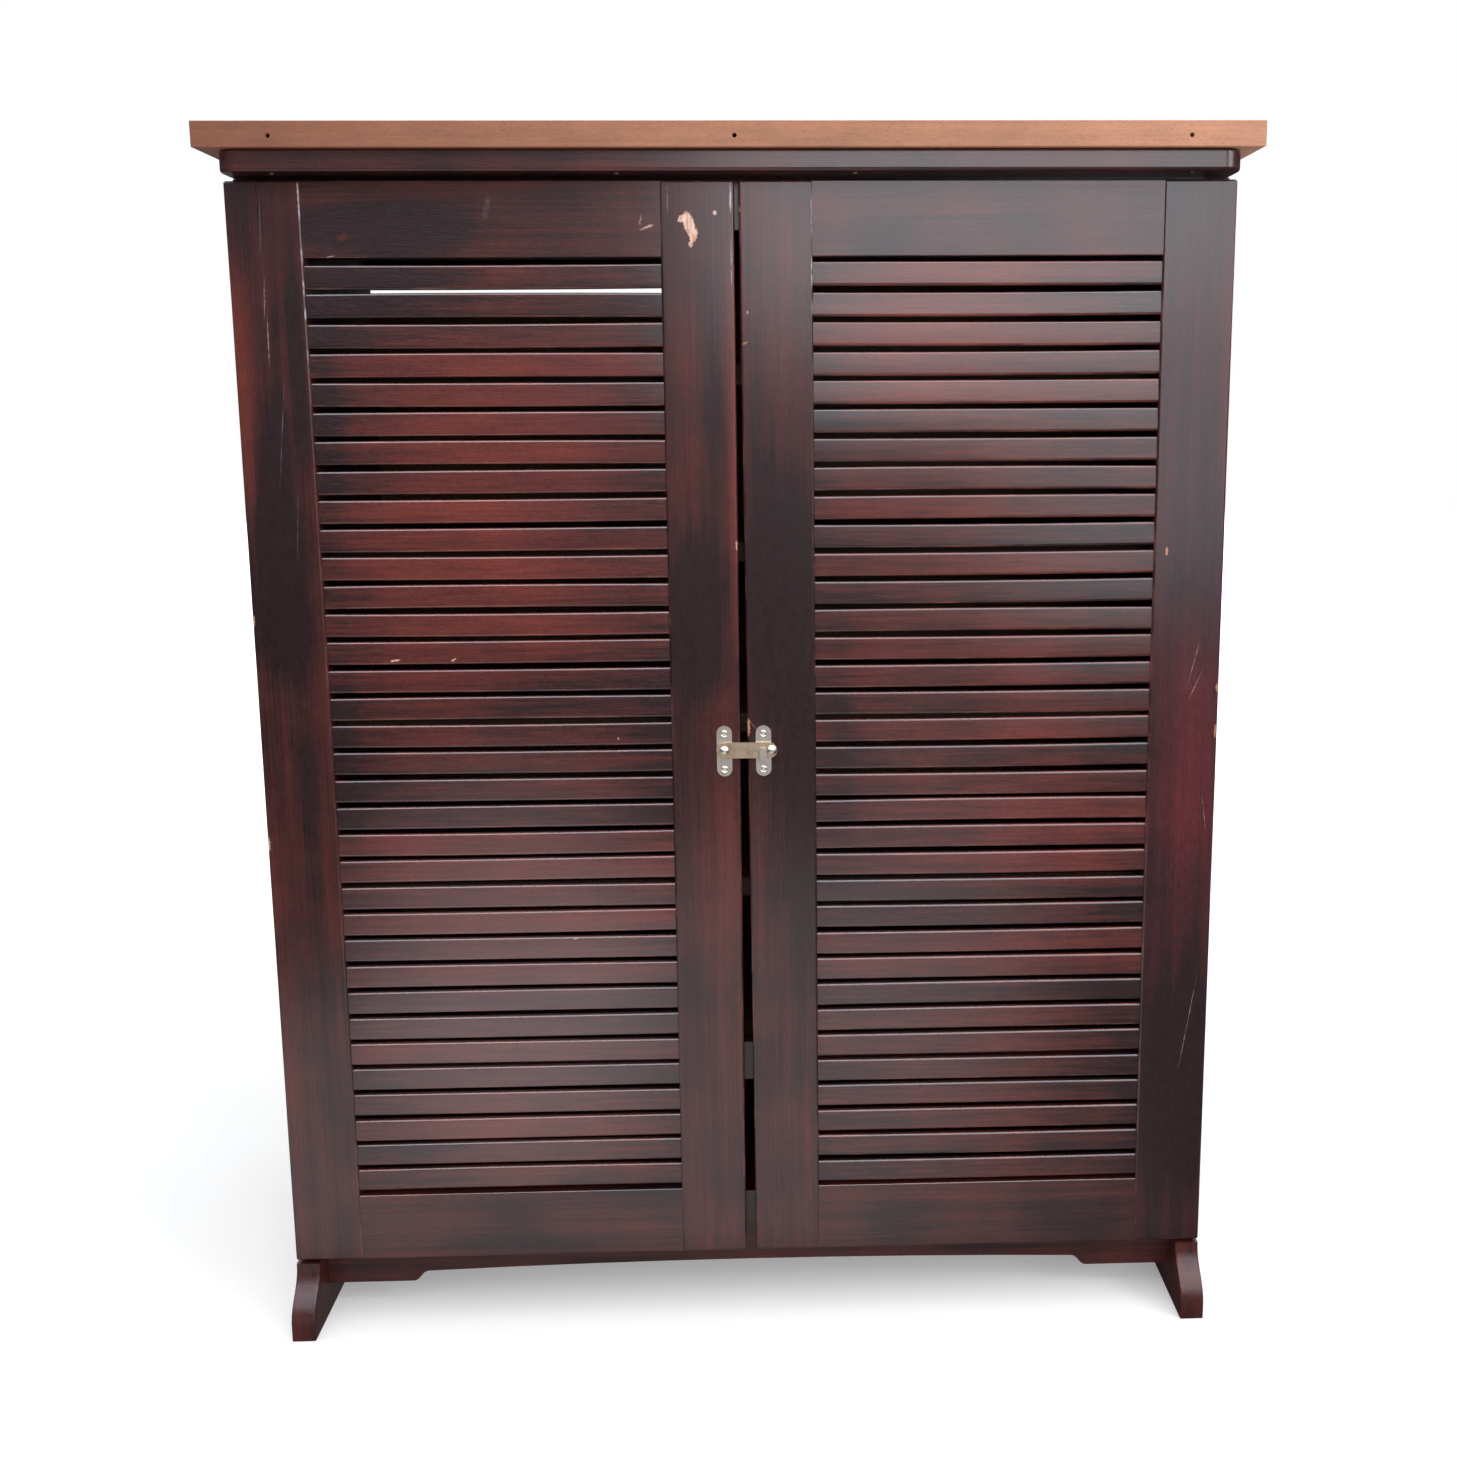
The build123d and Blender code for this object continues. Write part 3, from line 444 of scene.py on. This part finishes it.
def pressed_hardboard(name):
    """Hardboard: brown pressed fibre, slightly shiny, with paler fibres about 3 mm long."""
    base = bpy.context.scene.cabinet_colours.hardboard
    material, tree, shader, point = new_material(name)
    fibre = pattern(tree, point, (3.2, 3.2, 1.1), rough=0.7)
    cross = pattern(tree, point, (1.1, 3.2, 3.2), rough=0.7, offset=(9, 4, 1))
    cloud = pattern(tree, point, (120.0, 120.0, 120.0))
    felt = add(tree, "Math", (fibre, cross), operation="MAXIMUM")
    colour = add(tree, "Mix", {
        FACTOR: add(tree, "MapRange", (felt, 0.5, 0.72)), UNDER: [c * 0.78 for c in base],
        OVER: [min(1.0, c * 1.5) for c in base]}, data_type="RGBA")
    feed(tree, shader, {
        "Base Color": shaded(tree, colour, add(tree, "MapRange", (cloud, 0.3, 0.7, 0.86, 1.10))),
        "Roughness": add(tree, "MapRange", (felt, 0.4, 0.7, 0.38, 0.58)),
        "Normal": add(tree, "Bump", {
            "Height": felt, "Distance": 0.12 * MM, "Strength": 1.0})})
    return material


def plated_steel(name, colour_value, roughness, rust=0.0):
    """Pressed steel with a thin bright plating: smudged, finely scratched, dulled in patches."""
    material, tree, shader, point = new_material(name)
    smudge = pattern(tree, point, (6.0, 6.0, 6.0), 4.0, 0.6)
    scratch = pattern(tree, point, (0.35, 0.35, 5.0), 2.0)
    pit = pattern(tree, point, (0.9, 0.9, 0.9), 2.0, offset=(6, 1, 2))
    colour = add(tree, "Mix", {
        FACTOR: add(tree, "MapRange", (smudge, 0.35, 0.65)),
        UNDER: [c * 0.72 for c in colour_value], OVER: colour_value}, data_type="RGBA")
    if rust:
        spot = pattern(tree, point, (9.0, 9.0, 9.0), 5.0, 0.7, (2, 8, 5))
        colour = add(tree, "Mix", {
            FACTOR: add(tree, "MapRange", (spot, 0.50, 0.68, 0.0, rust)), UNDER: colour,
            OVER: linear("#a8805c")}, data_type="RGBA")
    dulled = add(tree, "MapRange", (smudge, 0.3, 0.7, roughness + 0.12, roughness))
    scored = add(tree, "MapRange", (scratch, 0.4, 0.7, 0.0, 0.08))
    feed(tree, shader, {
        "Base Color": colour, "Metallic": 1.0,
        "Roughness": add(tree, "Math", (dulled, scored), operation="ADD"),
        "Normal": add(tree, "Bump", {
            "Height": add(tree, "Math", (scratch, pit), operation="ADD"),
            "Distance": 0.03 * MM, "Strength": 1.0})})
    return material


# ---------------------------------------------------------------- shaping
def layers(bm):
    """The vertex values that the finishes read, made where they are missing."""
    return {name: bm.verts.layers.float.get(name) or bm.verts.layers.float.new(name)
            for name in ("arris", "tone", "belly")}


def block(low, high):
    """A plain box between two corners."""
    bm = bmesh.new()
    bmesh.ops.create_cube(bm, size=1.0, matrix=Matrix.Translation((high + low) / 2)
                          @ Matrix.Diagonal((*(high - low), 1.0)))
    return bm


def rounded(bm, edges, radius, segments):
    bmesh.ops.bevel(bm, geom=edges, offset=radius, offset_type="OFFSET", segments=segments,
                    profile=0.5, affect="EDGES", material=-1, clamp_overlap=True)


def rounded_board(low, high, radius, cuts):
    """A board with rounded edges between two corners, cut across its length on each axis."""
    bm = block(low, high)
    arris = layers(bm)["arris"]
    size, centre = high - low, (high + low) / 2
    rounded(bm, bm.edges[:], radius, 3)
    for axis, count in enumerate(cuts):
        if count:
            long_edges = [e for e in bm.edges
                          if abs((e.verts[0].co - e.verts[1].co)[axis]) > 0.5 * size[axis]]
            bmesh.ops.subdivide_edges(bm, edges=long_edges, cuts=count, use_grid_fill=True)
    reach = size / 2
    for v in bm.verts:
        away = v.co - centre
        v[arris] = float(all(reach[i] - abs(away[i]) > TOUCHING for i in range(3)))
    return bm


def gather(parts):
    """One bmesh that holds several, which are freed."""
    whole = bmesh.new()
    layers(whole)
    for part in parts:
        mesh = bpy.data.meshes.new("part")
        part.to_mesh(mesh)
        part.free()
        whole.from_mesh(mesh)
        bpy.data.meshes.remove(mesh)
    return whole


def wear_arrises(bm, depth, pitch=0.06):
    """Moves the edges of a board in by up to depth, here and there."""
    arris = layers(bm)["arris"]
    bm.normal_update()
    for v in bm.verts:
        if v[arris] > 0.5:
            amount = noise.noise(v.co / pitch) + 0.5 * noise.noise(v.co / pitch * 4.1)
            v.co -= v.normal * depth * max(0.0, amount)


def finish_piece(name, bm, body, material, stands_for):
    """Makes the piece from its bmesh, smooth, and puts it on its body in place of a CAD node."""
    bmesh.ops.recalc_face_normals(bm, faces=bm.faces)
    mesh = bpy.data.meshes.new(name)
    bm.to_mesh(mesh)
    bm.free()
    mesh.shade_smooth()
    mesh.set_sharp_from_angle(angle=math.radians(40.0))
    piece = bpy.data.objects.new(name, mesh)
    bpy.context.scene.collection.objects.link(piece)
    mesh.materials.append(material)
    weighted = piece.modifiers.new("Weighted normals", "WEIGHTED_NORMAL")
    weighted.keep_sharp = True
    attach(piece, body)
    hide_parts(stands_for)


def dress(node, material):
    """Gives a CAD node its finish."""
    for held in NODES[node].material_slots:
        held.material = material


def named(name, make, *args, **kwargs):
    """The finish of that name, made on first use."""
    return bpy.data.materials.get(name) or make(name, *args, **kwargs)


# ---------------------------------------------------------------- operators
class CABINET_OT_top_board(bpy.types.Operator):
    """The loose top board of bare beech, with its three empty screw holes"""
    bl_idname = "cabinet.top_board"
    bl_label = "Top board"

    def execute(self, context):
        dress("top_board", named("bare_planed_beech", bare_beech))
        return {"FINISHED"}


class CABINET_OT_case(bpy.types.Operator):
    """The case: its top, side panels, bottom, aprons and rails"""
    bl_idname = "cabinet.case"
    bl_label = "Case"

    def execute(self, context):
        sizes = context.scene.cabinet_sizes
        upright = named("stained_mahogany_case_upright", stained_mahogany, "z", seed=2.0,
                        gloss_coat=0.2)
        level = named("stained_mahogany_case_level", stained_mahogany, "x", seed=5.0)
        low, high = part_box("case_top")
        middle = (low.y + high.y) / 2
        bm = block(low, high)
        front_corners = [e for e in bm.edges if all(v.co.y < middle for v in e.verts)
                         and abs(e.verts[0].co.z - e.verts[1].co.z) > TOUCHING]
        rounded(bm, front_corners, sizes.top_corner, 10)
        rims = [e for e in bm.edges if abs(e.verts[0].co.z - e.verts[1].co.z) < TOUCHING]
        rounded(bm, rims, sizes.top_edge, 4)
        finish_piece("rounded_case_top", bm, "case", level, "case_top")
        for node in ("left_side_panel", "right_side_panel", "back_muntin"):
            dress(node, upright)
        for node in ("bottom_board", "front_apron", "rear_apron", "top_stretcher",
                     "back_top_rail", "lowest_shelf_rail"):
            dress(node, level)
        return {"FINISHED"}


class CABINET_OT_inside(bpy.types.Operator):
    """The shelves and their cleats, and the hardboard back"""
    bl_idname = "cabinet.inside"
    bl_label = "Shelves and back"

    def execute(self, context):
        # The dark inner colour is partly painted shade for the inside of the case.
        inner = context.scene.cabinet_colours.inner_wood
        board = named("planed_softwood_level", raw_wood, inner, "x")
        cleat = named("planed_softwood_cleats", raw_wood, inner, "y")
        for index in range(1, 6):
            dress(f"shelf_{index}", board)
        for side in SIDES:
            dress(f"{side}_shelf_cleats", cleat)
            dress(f"{side}_back_sheet", named("pressed_hardboard", pressed_hardboard))
        return {"FINISHED"}


class CABINET_OT_door_frames(bpy.types.Operator):
    """The stiles and rails of both doors"""
    bl_idname = "cabinet.door_frames"
    bl_label = "Door frames"

    def rail(self, side, part, sizes):
        """A rail that runs between the stiles, its ends just inside their rounded edges."""
        low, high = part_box(f"{side}_door_{part}")
        left, right = sorted((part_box(f"{side}_door_{p}_stile") for p in ("hinge", "lock")),
                             key=lambda box: box[0].x)
        low.x, high.x = left[1].x - RAIL_LAP, right[0].x + RAIL_LAP
        return rounded_board(low, high, sizes.rail_edge, (14, 0, 0))

    def stile(self, side, part, sizes):
        """A stile.  A lock stile's edge slopes, because the seam widens downwards."""
        low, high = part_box(f"{side}_door_{part}")
        if part == "lock_stile":
            if side == "left":
                high.x = -sizes.seam_top / 2
            else:
                low.x = sizes.seam_top / 2
        bm = rounded_board(low, high, sizes.frame_edge, (0, 0, 40))
        if part == "lock_stile":
            sign = -1 if side == "left" else 1
            lean = sign * (sizes.seam_bottom - sizes.seam_top) / 2
            middle = (low.x + high.x) / 2
            for v in bm.verts:
                if (v.co.x - middle) * sign < 0:
                    v.co.x += lean * (high.z - v.co.z) / (high.z - low.z)
        return bm

    def execute(self, context):
        sizes = context.scene.cabinet_sizes
        looks = {"left": dict(red=LEFT_RED, dark=LEFT_DARK_STAIN_AND_SHADE, chips=LEFT_CHIPS,
                              scratches=LEFT_SCRATCHES_AND_GLINTS),
                 "right": dict(red=RIGHT_RED, dark=RIGHT_DARK_STAIN_AND_SHADE, chips=RIGHT_CHIPS,
                               scratches=RIGHT_SCRATCHES, bare_wood=linear("#b27d54"))}
        for number, side in enumerate(SIDES):
            for part in ("hinge_stile", "lock_stile", "top_rail", "bottom_rail"):
                upright = part.endswith("stile")
                bm = (self.stile if upright else self.rail)(side, part, sizes)
                wear_arrises(bm, sizes.arris_wear)
                finish = named(f"stained_mahogany_{side}_{part}", stained_mahogany,
                               "z" if upright else "x", seed=3.0 + 5 * number + len(part),
                               crimson=side == "right" and part == "hinge_stile",
                               **looks[side])
                finish_piece(f"{side}_worn_{part}", bm, f"{side}_door", finish,
                             f"{side}_door_{part}")
        return {"FINISHED"}


class CABINET_OT_louvres(bpy.types.Operator):
    """The tilted louvre blades of both doors, each a little out of line"""
    bl_idname = "cabinet.louvres"
    bl_label = "Louvre blades"

    def blade(self, reach, sizes, draw, dropped):
        """One blade about the origin, with its own bow, slope, lift, lean and tone of stain."""
        bm = rounded_board(-reach, reach, sizes.blade_edge, (sizes.blade_stations, 0, 0))
        keys = layers(bm)
        bow = draw.uniform(-1, 1) * sizes.blade_wander
        slope = draw.uniform(-1, 1) * sizes.blade_wander
        lift = draw.uniform(-0.6, 0.6) * sizes.blade_wander
        lean = sizes.blade_tilt + draw.uniform(-1, 1) * sizes.blade_twist
        tone = draw.uniform(*BLADE_TONES)
        if dropped:
            lift = -sizes.blade_drop
        for v in bm.verts:
            along = v.co.x / reach.x
            v[keys["tone"]] = tone
            v[keys["belly"]] = 1.0 - along * along
            v.co.z += bow * (1 - along * along) + slope * along * 0.5 + lift
        bmesh.ops.rotate(bm, verts=bm.verts, cent=(0, 0, 0),
                         matrix=Matrix.Rotation(-lean, 3, "X"))
        return bm

    def execute(self, context):
        sizes = context.scene.cabinet_sizes
        draw = random.Random(20)
        c, s = math.cos(sizes.blade_tilt), math.sin(sizes.blade_tilt)
        for side in SIDES:
            finish = named(f"stained_mahogany_{side}_blades", stained_mahogany, "x",
                           red=BLADE_RED, dark=BLADE_DARK_STAIN_AND_SHADE, chips=BLADE_CHIPS,
                           scratches=BLADE_SCRATCHES, haze=BLADE_PAINTED_SHEEN, seed=1.0, depth=0.16,
                           blades=True)
            lower, upper = (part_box(f"{side}_door_{half}_slats") for half in ("lower", "upper"))
            pitch = (upper[0].z - lower[0].z) / BLADES_PER_NODE
            # The leaning blade's box gives its own width and thickness.
            tall = lower[1].z - lower[0].z - (BLADES_PER_NODE - 1) * pitch
            deep = lower[1].y - lower[0].y
            width = (tall * c - deep * s) / (c * c - s * s)
            thick = (deep * c - tall * s) / (c * c - s * s)
            for half, (low, high) in (("lower", lower), ("upper", upper)):
                blades = []
                for index in range(BLADES_PER_NODE):
                    centre = Vector(((low.x + high.x) / 2, (low.y + high.y) / 2,
                                     low.z + tall / 2 + index * pitch))
                    reach = Vector((high.x - low.x, thick, width)) / 2
                    topmost = half == "upper" and index == BLADES_PER_NODE - 1
                    bm = self.blade(reach, sizes, draw, side == "left" and topmost)
                    bmesh.ops.translate(bm, verts=bm.verts, vec=centre)
                    blades.append(bm)
                finish_piece(f"{side}_{half}_louvre_blades", gather(blades), f"{side}_door",
                             finish, f"{side}_door_{half}_slats")
        return {"FINISHED"}


class CABINET_OT_hinges(bpy.types.Operator):
    """The six butt hinges, their pins and all the screws and panel pins"""
    bl_idname = "cabinet.hinges"
    bl_label = "Hinges and screws"

    def execute(self, context):
        colours = context.scene.cabinet_colours
        hinge = named("zinc_plated_hinge_steel", plated_steel, colours.zinc, 0.34, rust=0.15)
        screw = named("bright_screw_steel", plated_steel, colours.screw, 0.30)
        # Painted shade: the screws under the top board's overhang get a dark steel colour for the
        # shade they sit in.
        shaded_screw = named("dulled_screw_steel", plated_steel, linear("#5d5853"), 0.5, rust=0.5)
        for node in NODES:
            if node == "top_board_screws":
                dress(node, shaded_screw)
            elif node.endswith(("_leaf", "hinge_pins")):
                dress(node, hinge)
            elif node.endswith("screws") or node == "back_nails":
                dress(node, screw)
        return {"FINISHED"}


class CABINET_OT_latch(bpy.types.Operator):
    """The swinging bar latch between the doors, with its domed screws"""
    bl_idname = "cabinet.latch"
    bl_label = "Latch"

    def domed_screw(self, x, y, z, radius):
        """A screw head turned about the Y axis, with a small driver hollow in its dome."""
        bm = bmesh.new()
        layers(bm)
        profile = [bm.verts.new((x + share * radius, y + depth * MM, z))
                   for share, depth in SCREW_PROFILE]
        edges = [bm.edges.new(pair) for pair in zip(profile, profile[1:])]
        bmesh.ops.spin(bm, geom=profile + edges, cent=(x, y, z), axis=(0, 1, 0),
                       angle=math.tau, steps=32, use_merge=True)
        bmesh.ops.remove_doubles(bm, verts=bm.verts, dist=TOUCHING)
        return bm

    def execute(self, context):
        plate = named("nickel_plated_latch_steel", plated_steel,
                      context.scene.cabinet_colours.nickel, 0.30)
        arm = named("worn_nickel_plated_arm", plated_steel, linear("#dcc3a8"), 0.36, rust=0.6)
        for node in ("latch_plate", "keeper_plate", "latch_rivet", "latch_knob"):
            dress(node, plate)
        dress("latch_arm", arm)
        for holder, body in (("latch_plate", "left_door"), ("keeper_plate", "right_door")):
            low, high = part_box(f"{holder}_screws")
            radius = (high.x - low.x) / 2
            heads = [self.domed_screw((low.x + high.x) / 2, low.y, z, radius)
                     for z in (low.z + radius, high.z - radius)]
            finish_piece(f"{holder}_domed_screws", gather(heads), body, plate,
                         f"{holder}_screws")
        return {"FINISHED"}


class CABINET_OT_stage(bpy.types.Operator):
    """The pale floor, the soft lights and the camera"""
    bl_idname = "cabinet.stage"
    bl_label = "Stage"

    def lay_floor(self, scene):
        bm = bmesh.new()
        bmesh.ops.create_grid(bm, x_segments=8, y_segments=8, size=FLOOR_REACH,
                              matrix=Matrix.Translation(FLOOR_CENTRE))
        mesh = bpy.data.meshes.new("pale_floor")
        bm.to_mesh(mesh)
        bm.free()
        floor = bpy.data.objects.new("pale_floor", mesh)
        scene.collection.objects.link(floor)
        material, tree, shader, point = new_material("matt_painted_floor")
        place = add(tree, "SeparateXYZ", (point,))
        x, y = place.outputs["X"], place.outputs["Y"]
        # Brighter far behind, so that it runs into the white room without an edge.
        feed(tree, shader, {
            "Base Color": scene.cabinet_colours.floor, "Roughness": 0.9,
            "Specular IOR Level": 0.1, "Emission Color": (1.0, 1.0, 1.0),
            "Emission Strength": add(tree, "MapRange", (y, 300, 2500, 0.24, 0.90))})
        # The lacquer mirrors only a pool of light in front of the doors, left of the middle:
        # it fades out towards the front, the right, a slanting line, and the cabinet.
        across = add(tree, "Math", (x, 1.34), operation="MULTIPLY")
        slant = add(tree, "Math", (y, across), operation="ADD")
        pool = add(tree, "MapRange", (y, -1950, -1450, 0.0, 1.0))
        for edge in ((x, 120, 520, 1.0, 0.08), (slant, -2170, -1770, 0.0, 1.0),
                     (y, -320, -250, 1.0, 0.15)):
            pool = add(tree, "Math", (pool, add(tree, "MapRange", edge)), operation="MULTIPLY")
        glow = add(tree, "Emission", {"Color": (1.0, 0.97, 0.98), "Strength": pool})
        glossy = add(tree, "LightPath").outputs["Is Glossy Ray"]
        out = shader.outputs[0].links[0].to_node
        feed(tree, out, (add(tree, "MixShader", (glossy, shader, glow)),))
        mesh.materials.append(material)

    def light_room(self, scene):
        """White behind the cabinet, a soft light round it, and in its lacquer's reflections
        dark walls under a bright ceiling."""
        world = bpy.data.worlds.new("soft_room")
        scene.world = world
        world.use_nodes = True
        tree = world.node_tree
        tree.nodes.clear()
        sky = add(tree, "TexCoord").outputs["Generated"]
        rise = add(tree, "SeparateXYZ", (sky,)).outputs["Z"]
        ray = add(tree, "LightPath").outputs
        white = add(tree, "Background", {"Strength": 1.0, "Color": (1, 1, 1)})
        soft = add(tree, "Background", {
            "Color": (0.95, 0.97, 1), "Strength": add(
                tree, "MapRange", (rise, -0.3, 0.7, 0.06, 0.85))})
        mirrored = add(tree, "Background", {
            "Color": (0.86, 0.92, 1), "Strength": add(
                tree, "MapRange", (rise, 0.34, 0.80, 0.06, 7.5))})
        room = add(tree, "MixShader", (ray["Is Glossy Ray"], soft, mirrored))
        add(tree, "OutputWorld", (add(tree, "MixShader", (ray["Is Camera Ray"], room, white)),))

    def hang_light(self, scene, name, place, target, size, power, colour):
        data = bpy.data.lights.new(name, "AREA")
        data.shape = "RECTANGLE"
        data.size, data.size_y = size
        data.energy = power
        data.color = colour
        light = bpy.data.objects.new(name, data)
        light.location = place
        aim = Vector(target) - Vector(place)
        light.rotation_euler = aim.to_track_quat("-Z", "Y").to_euler()
        light.visible_camera = False
        scene.collection.objects.link(light)

    def set_camera(self, scene, stage):
        data = bpy.data.cameras.new("camera")
        data.lens = stage.lens
        data.sensor_width = SENSOR_WIDTH
        data.shift_x, data.shift_y = CAMERA_SHIFT
        camera = bpy.data.objects.new("camera", data)
        scene.collection.objects.link(camera)
        dip, turn, roll = stage.camera_dip, stage.camera_turn, stage.camera_roll
        ahead = Vector((math.sin(turn) * math.cos(dip), math.cos(turn) * math.cos(dip),
                        -math.sin(dip)))
        right = Vector((math.cos(turn), -math.sin(turn), 0))
        down = ahead.cross(right)
        across = right * math.cos(roll) + down * math.sin(roll)
        up = -(down * math.cos(roll) - right * math.sin(roll))
        camera.matrix_world = Matrix.Translation(stage.camera_place) @ Matrix(
            (across, up, -ahead)).transposed().to_4x4()
        scene.camera = camera
        scene.view_settings.view_transform = "Standard"

    def execute(self, context):
        scene = context.scene
        stage = scene.cabinet_stage
        self.lay_floor(scene)
        self.light_room(scene)
        for name, place, target, size, share, of_power, colour in LIGHTS:
            self.hang_light(scene, name, place, target, size,
                            getattr(stage, of_power) * share, colour)
        self.set_camera(scene, stage)
        return {"FINISHED"}


OPERATORS = (CABINET_OT_top_board, CABINET_OT_case, CABINET_OT_inside, CABINET_OT_door_frames,
             CABINET_OT_louvres, CABINET_OT_hinges, CABINET_OT_latch, CABINET_OT_stage)
GROUPS = {"cabinet_colours": CabinetColours, "cabinet_sizes": CabinetSizes,
          "cabinet_stage": CabinetStage}


class CABINET_PT_panel(bpy.types.Panel):
    """Builds the cabinet piece by piece"""
    bl_idname = "CABINET_PT_panel"
    bl_label = "Shoe cabinet"
    bl_space_type = "VIEW_3D"
    bl_region_type = "UI"
    bl_category = "Shoe cabinet"

    def draw(self, context):
        for operator in OPERATORS:
            self.layout.operator(operator.bl_idname)
        for group, made in GROUPS.items():
            box = self.layout.box()
            for name in made.__annotations__:
                box.prop(getattr(context.scene, group), name)


def register():
    for made in (*GROUPS.values(), *OPERATORS, CABINET_PT_panel):
        bpy.utils.register_class(made)
    for name, made in GROUPS.items():
        setattr(bpy.types.Scene, name, PointerProperty(type=made))


def unregister():
    for name in GROUPS:
        delattr(bpy.types.Scene, name)
    for made in reversed((*GROUPS.values(), *OPERATORS, CABINET_PT_panel)):
        bpy.utils.unregister_class(made)


def main():
    register()
    for operator in OPERATORS:
        section, name = operator.bl_idname.split(".")
        getattr(getattr(bpy.ops, section), name)()


if __name__ == "__main__":
    main()
